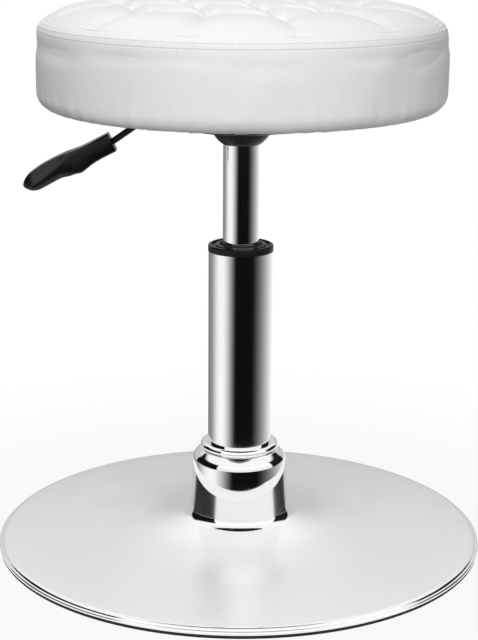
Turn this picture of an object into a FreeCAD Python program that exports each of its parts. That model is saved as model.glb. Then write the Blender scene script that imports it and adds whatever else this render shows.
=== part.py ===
import FreeCAD, Part
import math
import os

# Pedestal stool: a round tufted seat on a gas lift that turns and rises in a chrome column, which
# stands in a flared chrome base. Millimetres and degrees, +Z up. The origin is on the floor, on
# the axis of the column. The front is -Y, and the lever points to -X.

# Clearances
running_fit = 0.06
press_fit = 0.03
soft_gap = 0.3

# Base shell, spun from sheet
base_diameter = 385.0
base_sheet = 1.5
rim_bead_radius = 1.6
rim_round = 2.4
disc_break_radius = 95.0
disc_break_rise = 6.0
disc_break_round = 300.0
bell_foot_radius = 40.0
bell_foot_rise = 15.0
bell_foot_round = 8.0
bell_shoulder_radius = 36.8
bell_shoulder_drop = 6.0
bell_shoulder_round = 9.0
neck_height = 77.0
neck_lip_width = 5.9
neck_lip_round = 1.8

# Floor ring, bottom plate and taper hub under the shell
floor_ring_height = 2.3
floor_ring_width = 9.0
floor_ring_inset = 0.7
floor_ring_chamfer = 0.8
base_plate_thickness = 3.0
base_plate_ledge = 3.0
base_plate_gap = 0.4
access_hole_diameter = 40.0
hub_wall = 4.0
hub_gap = 0.2

# Column
column_diameter = 50.0
column_wall = 1.5
column_length = 225.3
column_foot_height = 12.0
column_taper = 1.4
end_plate_thickness = 3.0
rod_hole_play = 1.0
trim_ring_height = 5.5
trim_ring_round = 3.2
trim_ring_land = 1.4

# Guide bush with its collar, and the wiper ring
collar_height = 5.2
collar_overhang = 0.4
collar_round = 1.4
collar_groove_inset = 2.8
collar_groove_width = 3.0
collar_groove_depth = 1.2
guide_length = 80.0
guide_wall = 3.0
guide_land = 10.0
wiper_width = 3.0
wiper_depth = 2.4
wiper_proud = 0.8

# Thrust bearing
ball_diameter = 4.0
ball_count = 10
ball_circle_radius = 11.0
race_thickness = 2.0
race_gap = 2.6
race_width = 8.0
cage_thickness = 1.4
cage_width = 6.2
ball_play = 0.05

# Piston rod and what is on it
rod_diameter = 10.0
rod_shoulder_width = 2.5
rod_shoulder_height = 3.0
rod_tail = 2.0
clip_thickness = 1.1
clip_groove_depth = 1.0
clip_width = 4.0
clip_mouth = 6.0
washer_thickness = 1.5
washer_width = 4.4
axial_play = 0.3
bump_stop_height = 12.0
bump_stop_width = 6.5
bump_stop_chamfer = 1.5
piston_height = 14.0
piston_play = 0.1
piston_seal_height = 4.0
piston_seal_depth = 2.5

# Gas cylinder: the stroke is the whole travel, and the lowest gap stays open under the hub cover
cylinder_diameter = 28.0
cylinder_wall = 2.0
cylinder_taper = 0.4
exposed_cylinder = 78.0
stroke = 120.0
lowest_gap = 6.0
bump_gap = 0.5
rod_guide_length = 18.0
rod_seal_height = 6.0
rod_seal_lip = 1.5
piston_stop_gap = 1.0
valve_length = 30.0
pin_diameter = 6.0
pin_length = 28.0
pin_protrusion = 4.2
pin_dome_radius = 6.0

# Hub cover, seat hub and seat pan
cover_radius = 25.4
cover_wall = 1.8
cover_height = 12.5
cover_hole_play = 0.6
seat_hub_wall = 4.0
seat_hub_raise = 4.0
seat_hub_chamfer = 2.5
seat_hub_proud = 2.0
cylinder_recess = 1.5
pan_sheet = 2.5
pan_depth = 17.2
pan_floor_radius = 46.0
pan_mouth_radius = 52.0
pan_flange_radius = 78.0
pan_bend_round = 4.0
bolt_circle_radius = 65.0
bolt_count = 4
bolt_diameter = 6.0
bolt_hole_play = 0.3
bolt_head_width = 10.0
bolt_head_height = 4.0
bolt_washer_width = 3.0
bolt_washer_thickness = 1.6
tee_nut_barrel_wall = 1.4
tee_nut_barrel_length = 11.0
tee_nut_flange_width = 5.0
tee_nut_flange_thickness = 1.2

# Lever
lever_diameter = 5.0
lever_gap = 0.3
lever_inner_reach = 4.0
lever_pivot_reach = 30.0
lever_level_reach = 42.0
lever_bend_reach = 71.7
lever_dip = 3.0
lever_dip_round = 60.0
lever_slope = 34.8
lever_bend_round = 14.0
lever_slot_play = 2.0
barrel_radius = 5.0
barrel_length = 16.0
trunnion_radius = 3.0
ear_play = 0.3
ear_thickness = 2.0
ear_width = 14.0
ear_rise = 5.0
ear_round = 4.0
bracket_thickness = 2.0
handle_reach = 98.6
handle_slope = 26.8
handle_length = 77.0
handle_height = 15.0
handle_width = 22.0
handle_bulge = 1.5
handle_bulge_place = 46.0
handle_stop_place = 31.0
handle_stop_depth = 3.1
handle_stop_length = 15.0
handle_tip_round = 6.5
handle_top_round = 40.0
handle_stop_round = 20.0
handle_end_width = 15.0
handle_edge_round = 1.2
socket_depth = 26.0

# Seat board, cover and foam
dust_cover_thickness = 0.8
dust_cover_margin = 0.5
board_thickness = 15.0
board_inset = 14.5
seat_diameter = 310.0
leather = 1.5
panel_padding = 9.5
seat_side_height = 57.5
seat_widest_height = 42.0
seat_foot_draw = 1.0
seat_seam_draw = 1.6
seat_side_round = 90.0
seat_edge_round = 12.0
hem_width = 22.0
staple_count = 28
staple_length = 10.0
staple_wire = 0.8
staple_inset = 7.0
margin_width = 5.9
margin_rise = 8.0
crown_shoulder_radius = 80.0
crown_shoulder_width = 32.5
crown_radius = 1325.0

# Tufts and pleats sewn into the top
tuft_pitch = 50.0
tuft_rings = 2
tuft_turn = -15.0
tuft_radius = 9.0
tuft_depth = 7.0
pleat_radius = 7.0
pleat_depth = 3.5
pleat_edge_depth = 1.5
pleat_overrun = 16.0

# Heights and radii that follow from the sizes above
base_radius = base_diameter / 2
bead_circle_radius = base_radius - rim_bead_radius
bead_height = floor_ring_height + rim_bead_radius
base_plate_top = floor_ring_height + base_plate_thickness
rim_top = base_plate_top + base_plate_gap + base_sheet
floor_ring_outer = base_radius - floor_ring_inset
floor_ring_inner = floor_ring_outer - floor_ring_width
column_radius = column_diameter / 2
column_bore = column_radius - column_wall
neck_lip_radius = column_radius + neck_lip_width
hub_top = neck_height - base_sheet - hub_gap
column_top = column_foot_height + column_length
collar_top = column_top + collar_height
collar_radius = column_radius + collar_overhang

rod_radius = rod_diameter / 2
end_plate_top = column_foot_height + end_plate_thickness
lower_race_top = end_plate_top + race_thickness
ball_height = lower_race_top + race_gap / 2
upper_race_foot = lower_race_top + race_gap
rod_shoulder_foot = upper_race_foot + race_thickness
bump_stop_foot = rod_shoulder_foot + rod_shoulder_height
bump_stop_top = bump_stop_foot + bump_stop_height
washer_top = column_foot_height - axial_play
clip_top = washer_top - washer_thickness
rod_foot = clip_top - clip_thickness - rod_tail
ball_radius = ball_diameter / 2
race_inner = ball_circle_radius - race_width / 2
race_outer = ball_circle_radius + race_width / 2

cylinder_radius = cylinder_diameter / 2
cylinder_bore = cylinder_radius - cylinder_wall
cover_foot = collar_top + exposed_cylinder
rest_raise = exposed_cylinder - lowest_gap
cylinder_foot = bump_stop_top + bump_gap + rest_raise
rod_seal_foot = cylinder_foot + rod_guide_length
rod_seal_top = rod_seal_foot + rod_seal_height
piston_foot = rod_seal_top + stroke - rest_raise + piston_stop_gap
piston_top = piston_foot + piston_height
pan_foot = cover_foot + cover_height
pan_floor = pan_foot + pan_sheet
pan_top = pan_foot + pan_depth
seat_hub_radius = cylinder_radius + seat_hub_wall
seat_hub_foot = cover_foot + seat_hub_raise
seat_hub_top = pan_floor + seat_hub_proud
cylinder_top = seat_hub_top - cylinder_recess
pin_radius = pin_diameter / 2
pin_top = cylinder_top + pin_protrusion

lever_radius = lever_diameter / 2
lever_height = pin_top + lever_gap + lever_radius
lever_bend_height = lever_height - lever_dip
handle_centre_height = lever_bend_height - (handle_reach - lever_bend_reach) * math.tan(
    math.radians(lever_slope)
)

bolt_radius = bolt_diameter / 2
seat_radius = seat_diameter / 2
board_radius = seat_radius - board_inset
board_foot = pan_top + dust_cover_thickness
board_top = board_foot + board_thickness
hem_foot = board_foot - leather
seam_height = hem_foot + seat_side_height
seam_radius = seat_radius - seat_seam_draw
hem_inner = seat_radius - seat_foot_draw - hem_width
margin_radius = seam_radius - margin_width
margin_height = seam_height + margin_rise

HEX_SIDES = 6
TUFT_SIDES = 6
Z_AXIS = FreeCAD.Vector(0, 0, 1)
ORIGIN = FreeCAD.Vector(0, 0, 0)


def at(radius, height):
    """A point of a profile, in the XZ plane."""
    return FreeCAD.Vector(radius, 0, height)


def rounded_path(corners, rounds, closed=False):
    """Edges along the corners, each corner taken round by a tangent arc of its radius."""
    points = [at(*corner) for corner in corners]
    count = len(points)
    starts, ends, arcs = [], [], []
    for index, point in enumerate(points):
        radius = rounds[index]
        if radius <= 0 or (not closed and index in (0, count - 1)):
            starts.append(point)
            ends.append(point)
            arcs.append(None)
            continue
        back = (points[index - 1] - point).normalize()
        ahead = (points[(index + 1) % count] - point).normalize()
        half = back.getAngle(ahead) / 2
        tangent = radius / math.tan(half)
        middle = (back + ahead).normalize()
        centre = point + middle * (radius / math.sin(half))
        starts.append(point + back * tangent)
        ends.append(point + ahead * tangent)
        arcs.append(centre - middle * radius)
    edges = []
    for index in range(count):
        if arcs[index] is not None:
            edges.append(Part.Arc(starts[index], arcs[index], ends[index]).toShape())
        following = index + 1
        if following == count:
            if not closed:
                break
            following = 0
        if ends[index].distanceToPoint(starts[following]) > 1e-6:
            edges.append(Part.makeLine(ends[index], starts[following]))
    return edges


def offset_corners(corners, distance):
    """The corners moved to the right of their path by a distance, with the corners mitred."""
    normals = []
    for (r_a, z_a), (r_b, z_b) in zip(corners, corners[1:]):
        length = math.hypot(r_b - r_a, z_b - z_a)
        normals.append(((z_b - z_a) / length, (r_a - r_b) / length))
    normals = [normals[0]] + normals + [normals[-1]]
    moved = []
    for (r, z), before, after in zip(corners, normals, normals[1:]):
        share = distance / (1 + before[0] * after[0] + before[1] * after[1])
        moved.append((r + share * (before[0] + after[0]), z + share * (before[1] + after[1])))
    return moved


def offset_rounds(corners, rounds, distance):
    """The radii of the same corners on the path moved to the right."""
    moved = list(rounds)
    for index in range(1, len(corners) - 1):
        (r_a, z_a), (r_b, z_b), (r_c, z_c) = corners[index - 1 : index + 2]
        turn = (r_b - r_a) * (z_c - z_b) - (z_b - z_a) * (r_c - r_b)
        moved[index] = rounds[index] + math.copysign(distance, turn)
    return moved


def profile_face(edges):
    """The flat face inside a closed profile."""
    return Part.Face(Part.Wire(Part.__sortEdges__(edges)))


def turned(edges):
    """The solid that a closed profile makes when it is turned about the Z axis."""
    return profile_face(edges).revolve(ORIGIN, Z_AXIS, 360)


def turned_polygon(corners, rounds=None):
    """A turned solid from the corners of its profile, with the radii of those that are round."""
    given = rounds or {}
    radii = [given.get(index, 0) for index in range(len(corners))]
    return turned(rounded_path(corners, radii, closed=True))


def turned_sheet(corners, rounds, thickness):
    """A turned sheet of even thickness, to the right of its outer path."""
    outer = rounded_path(corners, rounds)
    inner_corners = offset_corners(corners, thickness)
    inner = rounded_path(inner_corners, offset_rounds(corners, rounds, thickness))
    caps = [
        Part.makeLine(at(*corners[0]), at(*inner_corners[0])),
        Part.makeLine(at(*corners[-1]), at(*inner_corners[-1])),
    ]
    return turned(outer + inner + caps)


def ring(inner, outer, foot, top):
    """A plain ring about the Z axis."""
    return turned_polygon([(inner, foot), (outer, foot), (outer, top), (inner, top)])


def round_hole(x, y, radius, foot, top):
    """A cylinder that bores a hole parallel to the Z axis."""
    return Part.makeCylinder(radius, top - foot, FreeCAD.Vector(x, y, foot))


def around(radius, count, start=0.0):
    """Places evenly spaced on a circle about the Z axis, with the angle of each."""
    for index in range(count):
        angle = start + 360.0 * index / count
        yield (
            radius * math.cos(math.radians(angle)),
            radius * math.sin(math.radians(angle)),
            angle,
        )


def bolt_places():
    """The bolts lie on the diagonals, clear of the lever."""
    return list(around(bolt_circle_radius, bolt_count, 180.0 / bolt_count))


def pointing_left(shape):
    """Lever pieces are drawn along +X and turned to point to -X."""
    turned_shape = shape.copy()
    turned_shape.rotate(ORIGIN, Z_AXIS, 180)
    return turned_shape


# Base
def base_shell():
    corners = [
        (column_radius + press_fit, neck_height),
        (neck_lip_radius, neck_height),
        (bell_shoulder_radius, neck_height - bell_shoulder_drop),
        (bell_foot_radius, rim_top + bell_foot_rise),
        (disc_break_radius, rim_top + disc_break_rise),
        (bead_circle_radius, rim_top),
        (bead_circle_radius, bead_height),
    ]
    rounds = [
        0,
        neck_lip_round,
        bell_shoulder_round,
        bell_foot_round,
        disc_break_round,
        rim_round,
        0,
    ]
    sheet = turned_sheet(corners, rounds, base_sheet)
    bead = Part.makeTorus(bead_circle_radius, rim_bead_radius, at(0, bead_height), Z_AXIS)
    return sheet.fuse(bead).removeSplitter()


def floor_ring():
    corners = [
        (floor_ring_inner, 0),
        (floor_ring_outer - floor_ring_chamfer, 0),
        (floor_ring_outer, floor_ring_chamfer),
        (floor_ring_outer, floor_ring_height),
        (floor_ring_inner, floor_ring_height),
    ]
    return turned_polygon(corners)


def base_plate():
    edge = floor_ring_inner + base_plate_ledge
    return ring(access_hole_diameter / 2, edge, floor_ring_height, base_plate_top)


def column_taper_at(height):
    """How much the tapered foot of the column has lost of its radius at a height."""
    return column_taper * (hub_top - height) / (hub_top - column_foot_height)


def base_hub():
    outer = column_radius + hub_wall
    foot_bore = column_radius - column_taper_at(base_plate_top) + press_fit
    corners = [
        (foot_bore, base_plate_top),
        (outer, base_plate_top),
        (outer, hub_top),
        (column_radius + press_fit, hub_top),
    ]
    return turned_polygon(corners)


def column_trim_ring():
    inner = column_radius + press_fit
    corners = [
        (inner, neck_height),
        (neck_lip_radius, neck_height),
        (neck_lip_radius, neck_height + trim_ring_height),
        (inner, neck_height + trim_ring_height),
    ]
    ring_rounds = {1: trim_ring_land, 2: trim_ring_round}
    return turned_polygon(corners, ring_rounds)


def column_tube():
    corners = [
        (column_radius - column_taper - column_wall, column_foot_height),
        (column_radius - column_taper, column_foot_height),
        (column_radius, hub_top),
        (column_radius, column_top),
        (column_bore, column_top),
        (column_bore, hub_top),
    ]
    return turned_polygon(corners)


def column_end_plate():
    outer = column_bore - column_taper - press_fit
    return ring(rod_radius + rod_hole_play, outer, column_foot_height, end_plate_top)


def guide_bush():
    bore = cylinder_radius + running_fit
    web = bore + guide_wall
    outer = column_bore - press_fit
    foot = column_top - guide_length
    wiper_seat = bore + wiper_width
    groove_outer = collar_radius - collar_groove_inset
    groove_inner = groove_outer - collar_groove_width
    corners = [
        (bore, foot),
        (outer, foot),
        (outer, foot + guide_land),
        (web, foot + guide_land),
        (web, column_top - guide_land),
        (outer, column_top - guide_land),
        (outer, column_top),
        (collar_radius, column_top),
        (collar_radius, collar_top),
        (groove_outer, collar_top),
        (groove_outer, collar_top - collar_groove_depth),
        (groove_inner, collar_top - collar_groove_depth),
        (groove_inner, collar_top),
        (wiper_seat, collar_top),
        (wiper_seat, collar_top - wiper_depth),
        (bore, collar_top - wiper_depth),
    ]
    return turned_polygon(corners, {8: collar_round})


def wiper_ring():
    inner = cylinder_radius + running_fit
    outer = inner + wiper_width - press_fit
    corners = [
        (inner, collar_top - wiper_depth),
        (outer, collar_top - wiper_depth),
        (outer, collar_top),
        (inner + wiper_proud, collar_top + wiper_proud),
        (inner, collar_top + wiper_proud),
    ]
    return turned_polygon(corners)


# Thrust bearing
def race(inner, foot):
    blank = ring(inner, race_outer, foot, foot + race_thickness)
    groove = Part.makeTorus(
        ball_circle_radius, ball_radius + ball_play, at(0, ball_height), Z_AXIS
    )
    return blank.cut(groove)


def bearing_balls():
    balls = []
    for x, y, _ in around(ball_circle_radius, ball_count):
        balls.append(Part.makeSphere(ball_radius, FreeCAD.Vector(x, y, ball_height)))
    return Part.makeCompound(balls)


def bearing_cage():
    inner = ball_circle_radius - cage_width / 2
    outer = ball_circle_radius + cage_width / 2
    foot = ball_height - cage_thickness / 2
    top = ball_height + cage_thickness / 2
    pockets = []
    for x, y, _ in around(ball_circle_radius, ball_count):
        pockets.append(round_hole(x, y, ball_radius + ball_play, foot, top))
    return ring(inner, outer, foot, top).cut(pockets)


# Piston rod
def piston_rod():
    neck = rod_radius - clip_groove_depth
    shoulder = rod_radius + rod_shoulder_width
    corners = [
        (0, rod_foot),
        (rod_radius, rod_foot),
        (rod_radius, rod_foot + rod_tail),
        (neck, rod_foot + rod_tail),
        (neck, clip_top),
        (rod_radius, clip_top),
        (rod_radius, rod_shoulder_foot),
        (shoulder, rod_shoulder_foot),
        (shoulder, bump_stop_foot),
        (rod_radius, bump_stop_foot),
        (rod_radius, piston_top),
        (0, piston_top),
    ]
    return turned_polygon(corners)


def rod_clip():
    inner = rod_radius - clip_groove_depth + press_fit
    outer = inner + clip_width
    foot = clip_top - clip_thickness
    mouth = Part.makeBox(
        outer, clip_mouth, clip_thickness, FreeCAD.Vector(0, -clip_mouth / 2, foot)
    )
    return ring(inner, outer, foot, clip_top).cut(mouth)


def rod_washer():
    inner = rod_radius + running_fit
    return ring(inner, inner + washer_width, clip_top, washer_top)


def bump_stop():
    inner = rod_radius + press_fit
    outer = inner + bump_stop_width
    corners = [
        (inner, bump_stop_foot),
        (outer, bump_stop_foot),
        (outer, bump_stop_top - bump_stop_chamfer),
        (outer - bump_stop_chamfer, bump_stop_top),
        (inner, bump_stop_top),
    ]
    return turned_polygon(corners)


def seal_groove_foot():
    """The piston's seal lies half way up the piston."""
    return piston_foot + (piston_height - piston_seal_height) / 2


def piston():
    inner = rod_radius + press_fit
    outer = cylinder_bore - piston_play
    body = ring(inner, outer, piston_foot, piston_top)
    groove_foot = seal_groove_foot()
    groove = ring(
        outer - piston_seal_depth, cylinder_bore, groove_foot, groove_foot + piston_seal_height
    )
    return body.cut(groove)


def piston_seal():
    inner = cylinder_bore - piston_play - piston_seal_depth + press_fit
    outer = cylinder_bore - running_fit
    foot = seal_groove_foot() + press_fit
    top = seal_groove_foot() + piston_seal_height - press_fit
    return ring(inner, outer, foot, top)


# Gas cylinder
def gas_cylinder():
    corners = [
        (cylinder_bore, cylinder_foot),
        (cylinder_radius, cylinder_foot),
        (cylinder_radius, seat_hub_foot),
        (cylinder_radius - cylinder_taper, cylinder_top),
        (cylinder_bore, cylinder_top),
    ]
    return turned_polygon(corners)


def cylinder_rod_guide():
    outer = cylinder_bore - press_fit
    return ring(rod_radius + running_fit, outer, cylinder_foot, rod_seal_foot)


def cylinder_rod_seal():
    inner = rod_radius + running_fit
    outer = cylinder_bore - press_fit
    corners = [
        (inner, rod_seal_foot),
        (outer, rod_seal_foot),
        (outer, rod_seal_top),
        (inner + rod_seal_lip, rod_seal_top),
        (inner, rod_seal_top - rod_seal_lip),
    ]
    return turned_polygon(corners)


def valve_body():
    foot = cylinder_top - valve_length
    return ring(pin_radius + running_fit, cylinder_bore - press_fit, foot, cylinder_top)


def release_pin():
    shaft = Part.makeCylinder(pin_radius, pin_length, at(0, pin_top - pin_length))
    dome = Part.makeSphere(pin_dome_radius, at(0, pin_top - pin_dome_radius))
    skirt = Part.makeCylinder(
        pin_radius, pin_length - pin_radius, at(0, pin_top - pin_length)
    )
    return shaft.common(dome).fuse(skirt).removeSplitter()


# Hub cover, seat hub and seat pan
def hub_cover():
    hole = cylinder_radius + cover_hole_play
    centre = cover_foot + math.sqrt(cover_radius**2 - hole**2)

    def cut_ball(radius):
        ball = Part.makeSphere(radius, at(0, centre))
        slab = Part.makeCylinder(cover_radius, cover_height, at(0, cover_foot))
        return ball.common(slab)

    cup = cut_ball(cover_radius).cut(cut_ball(cover_radius - cover_wall))
    return cup.cut(round_hole(0, 0, hole, cover_foot, pan_foot))


def seat_hub():
    foot_bore = cylinder_radius + press_fit
    slope = cylinder_taper / (cylinder_top - seat_hub_foot)
    top_bore = foot_bore - slope * (seat_hub_top - seat_hub_foot)
    corners = [
        (foot_bore, seat_hub_foot),
        (seat_hub_radius - seat_hub_chamfer, seat_hub_foot),
        (seat_hub_radius, seat_hub_foot + seat_hub_chamfer),
        (seat_hub_radius, seat_hub_top),
        (top_bore, seat_hub_top),
    ]
    return turned_polygon(corners)


def seat_pan():
    flange_foot = pan_top - pan_sheet
    corners = [
        (pan_flange_radius, flange_foot),
        (pan_mouth_radius, flange_foot),
        (pan_floor_radius, pan_foot),
        (seat_hub_radius + press_fit, pan_foot),
    ]
    rounds = [0, pan_bend_round - pan_sheet, pan_bend_round, 0]
    pan = turned_sheet(corners, rounds, pan_sheet)
    holes = []
    for x, y, _ in bolt_places():
        holes.append(round_hole(x, y, bolt_radius + bolt_hole_play, pan_foot, pan_top))
    slot_half = lever_radius + lever_slot_play
    slot_foot = lever_bend_height - slot_half
    slot = Part.makeBox(
        pan_mouth_radius,
        2 * slot_half,
        flange_foot - slot_foot,
        FreeCAD.Vector(lever_pivot_reach, -slot_half, slot_foot),
    )
    return pan.cut(holes + [pointing_left(slot)])


def mounting_bolts():
    head_top = pan_top - pan_sheet - bolt_washer_thickness
    circumscribed = bolt_head_width / math.sqrt(3)
    bolts = []
    for x, y, _ in bolt_places():
        rim = []
        for dx, dy, _ in around(circumscribed, HEX_SIDES):
            rim.append(FreeCAD.Vector(x + dx, y + dy, head_top - bolt_head_height))
        head_face = Part.Face(Part.makePolygon(rim + rim[:1]))
        head = head_face.extrude(FreeCAD.Vector(0, 0, bolt_head_height))
        shank = round_hole(x, y, bolt_radius, head_top - bolt_head_height, board_top)
        bolts.append(head.fuse(shank).removeSplitter())
    return Part.makeCompound(bolts)


def bolt_washers():
    top = pan_top - pan_sheet
    washers = []
    for x, y, _ in bolt_places():
        washer = ring(
            bolt_radius + bolt_hole_play,
            bolt_radius + bolt_washer_width,
            top - bolt_washer_thickness,
            top,
        )
        washer.translate(FreeCAD.Vector(x, y, 0))
        washers.append(washer)
    return Part.makeCompound(washers)


def tee_nuts():
    bore = bolt_radius + press_fit
    barrel = bore + tee_nut_barrel_wall
    corners = [
        (bore, board_top - tee_nut_barrel_length),
        (barrel, board_top - tee_nut_barrel_length),
        (barrel, board_top),
        (barrel + tee_nut_flange_width, board_top),
        (barrel + tee_nut_flange_width, board_top + tee_nut_flange_thickness),
        (bore, board_top + tee_nut_flange_thickness),
    ]
    nuts = []
    for x, y, _ in bolt_places():
        nut = turned_polygon(corners)
        nut.translate(FreeCAD.Vector(x, y, 0))
        nuts.append(nut)
    return Part.makeCompound(nuts)


# Lever
def lever_path():
    """The bent line of the lever rod, as edges along +X."""
    slope = math.radians(lever_slope)
    tip_reach = handle_reach + socket_depth * math.cos(slope)
    tip_height = handle_centre_height - socket_depth * math.sin(slope)
    corners = [
        (-lever_inner_reach, lever_height),
        (lever_level_reach, lever_height),
        (lever_bend_reach, lever_bend_height),
        (tip_reach, tip_height),
    ]
    return rounded_path(corners, [0, lever_dip_round, lever_bend_round, 0])


def lever_bar(radius):
    """A round bar of a radius along the lever's line."""
    path = Part.Wire(lever_path())
    start = at(-lever_inner_reach, lever_height)
    section = Part.Wire(Part.makeCircle(radius, start, FreeCAD.Vector(1, 0, 0)))
    return path.makePipeShell([section], True, False)


def lever_rod():
    return pointing_left(lever_bar(lever_radius))


def lever_pivot_barrel():
    across = FreeCAD.Vector(0, 1, 0)
    trunnion_length = barrel_length + 2 * (ear_play + ear_thickness)
    place = at(lever_pivot_reach, lever_height)
    body = Part.makeCylinder(
        barrel_radius, barrel_length, place - across * (barrel_length / 2), across
    )
    trunnion = Part.makeCylinder(
        trunnion_radius, trunnion_length, place - across * (trunnion_length / 2), across
    )
    barrel = body.fuse(trunnion).removeSplitter()
    return pointing_left(barrel.cut(lever_bar(lever_radius + press_fit)))


def lever_bracket():
    across = FreeCAD.Vector(0, 1, 0)
    inside = barrel_length / 2 + ear_play
    outside = inside + ear_thickness
    left = lever_pivot_reach - ear_width / 2
    right = lever_pivot_reach + ear_width / 2
    ear_top = lever_height + ear_rise
    corners = [(left, pan_floor), (right, pan_floor), (right, ear_top), (left, ear_top)]
    outline = rounded_path(corners, [0, 0, ear_round, ear_round], closed=True)
    block_face = profile_face(outline)
    block = block_face.extrude(across * (2 * outside))
    block.translate(across * -outside)
    channel = Part.makeBox(
        ear_width,
        2 * inside,
        pan_depth,
        FreeCAD.Vector(left, -inside, pan_floor + bracket_thickness),
    )
    bore = Part.makeCylinder(
        trunnion_radius + running_fit,
        2 * outside,
        at(lever_pivot_reach, lever_height) - across * outside,
        across,
    )
    return pointing_left(block.cut([channel, bore]))


def handle_side():
    """The grip seen from the side, along +X from its square end, as a closed face."""
    half = handle_height / 2
    corners = [
        (0, half),
        (handle_bulge_place, half + handle_bulge),
        (handle_length, half),
        (handle_length, -half),
        (handle_stop_place + handle_stop_length, -half),
        (handle_stop_place, -half - handle_stop_depth),
        (handle_stop_place - handle_stop_length, -half),
        (0, -half),
    ]
    rounds = [
        handle_edge_round,
        handle_top_round,
        handle_tip_round,
        handle_tip_round,
        handle_tip_round,
        handle_edge_round,
        handle_stop_round,
        handle_edge_round,
    ]
    return profile_face(rounded_path(corners, rounds, closed=True))


def handle_plan():
    """The grip seen from above: narrow at its square end, with a round tip."""
    near = handle_end_width / 2
    far = handle_width / 2
    tip = handle_width / 2 - handle_edge_round
    corners = [(0, near), (handle_length, far), (handle_length, -far), (0, -near)]
    edges = rounded_path(corners, [0, tip, tip, 0], closed=True)
    face = profile_face(edges)
    face.rotate(ORIGIN, FreeCAD.Vector(1, 0, 0), -90)
    return face


def lever_handle():
    reach = handle_height + handle_bulge + handle_stop_depth
    side = handle_side().extrude(FreeCAD.Vector(0, handle_width, 0))
    side.translate(FreeCAD.Vector(0, -handle_width / 2, 0))
    plan = handle_plan().extrude(FreeCAD.Vector(0, 0, 2 * reach))
    plan.translate(FreeCAD.Vector(0, 0, -reach))
    grip = side.common(plan)
    grip.rotate(ORIGIN, FreeCAD.Vector(0, 1, 0), handle_slope)
    grip.translate(at(handle_reach, handle_centre_height))
    return pointing_left(grip.cut(lever_bar(lever_radius + press_fit)))


# Seat
def dust_cover():
    top = pan_top + dust_cover_thickness
    sheet = Part.makeCylinder(
        hem_inner - dust_cover_margin, dust_cover_thickness, at(0, pan_top)
    )
    holes = []
    for x, y, _ in bolt_places():
        holes.append(round_hole(x, y, bolt_radius + bolt_hole_play, pan_top, top))
    return sheet.cut(holes)


def seat_board():
    board = Part.makeCylinder(board_radius, board_thickness, at(0, board_foot))
    hole_radius = bolt_radius + tee_nut_barrel_wall + 2 * press_fit
    holes = []
    for x, y, _ in bolt_places():
        holes.append(round_hole(x, y, hole_radius, board_foot, board_top))
    return board.cut(holes)


def band_corners():
    """The outer path of the side band, from the seam down and in under the board."""
    return [
        (seam_radius, seam_height),
        (seat_radius, hem_foot + seat_widest_height),
        (seat_radius - seat_foot_draw, hem_foot),
        (hem_inner, hem_foot),
    ]


def band_rounds():
    return [0, seat_side_round, seat_edge_round, 0]


def seat_side_band():
    return turned_sheet(band_corners(), band_rounds(), leather)


def staples():
    middle = hem_inner + staple_inset
    crowns = []
    for _, _, angle in around(middle, staple_count):
        crown = Part.makeBox(
            staple_wire,
            staple_length,
            staple_wire,
            FreeCAD.Vector(middle, -staple_length / 2, hem_foot - staple_wire),
        )
        crown.rotate(ORIGIN, Z_AXIS, angle)
        crowns.append(crown)
    return Part.makeCompound(crowns)


def crown_shoulder():
    """The centre of the shoulder arc, and where the crown's large arc passes into it."""
    lean = math.asin((margin_radius - crown_shoulder_width) / crown_radius)
    start_radius = crown_radius * math.sin(lean)
    centre_radius = start_radius - crown_shoulder_radius * math.sin(lean)
    end_sine = (margin_radius - centre_radius) / crown_shoulder_radius
    centre_height = margin_height - crown_shoulder_radius * math.sqrt(1 - end_sine**2)
    start_height = centre_height + crown_shoulder_radius * math.cos(lean)
    return centre_radius, centre_height, start_radius, start_height


def crown_height(radius):
    """The height of the crown, between its tufts, at a distance from the axis."""
    centre_radius, centre_height, start_radius, start_height = crown_shoulder()
    if radius > start_radius:
        return centre_height + math.sqrt(
            crown_shoulder_radius**2 - (radius - centre_radius) ** 2
        )
    arc_drop = crown_radius - math.sqrt(crown_radius**2 - start_radius**2)
    top = start_height + arc_drop
    return top - crown_radius + math.sqrt(crown_radius**2 - radius**2)


def crown_profile(inset, side):
    """The closed profile under the crown sunk by an inset, with the edges down its side."""
    _, _, start_radius, _ = crown_shoulder()
    end_radius = margin_radius - inset
    places = [0, start_radius / 2, start_radius, (start_radius + end_radius) / 2, end_radius]
    points = [at(place, crown_height(place) - inset) for place in places]
    edges = [Part.Arc(*points[:3]).toShape(), Part.Arc(*points[2:]).toShape()]
    edges.append(Part.makeLine(points[-1], side[0].Vertexes[0].Point))
    edges.append(Part.makeLine(side[-1].Vertexes[-1].Point, points[0]))
    return edges + side


def tuft_places():
    """The sewn points: a triangular pattern, in rings about the middle one."""
    turn = math.radians(tuft_turn)
    places = []
    for row in range(-tuft_rings, tuft_rings + 1):
        for column in range(-tuft_rings, tuft_rings + 1):
            if abs(row + column) > tuft_rings:
                continue
            x = tuft_pitch * (column + row / 2)
            y = tuft_pitch * row * math.sqrt(3) / 2
            turned_x = x * math.cos(turn) - y * math.sin(turn)
            turned_y = x * math.sin(turn) + y * math.cos(turn)
            places.append((turned_x, turned_y))
    return places


def rod_between(start, end, radius):
    """A round rod from one point to another."""
    return Part.makeCylinder(radius, start.distanceToPoint(end), start, end - start)


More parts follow.
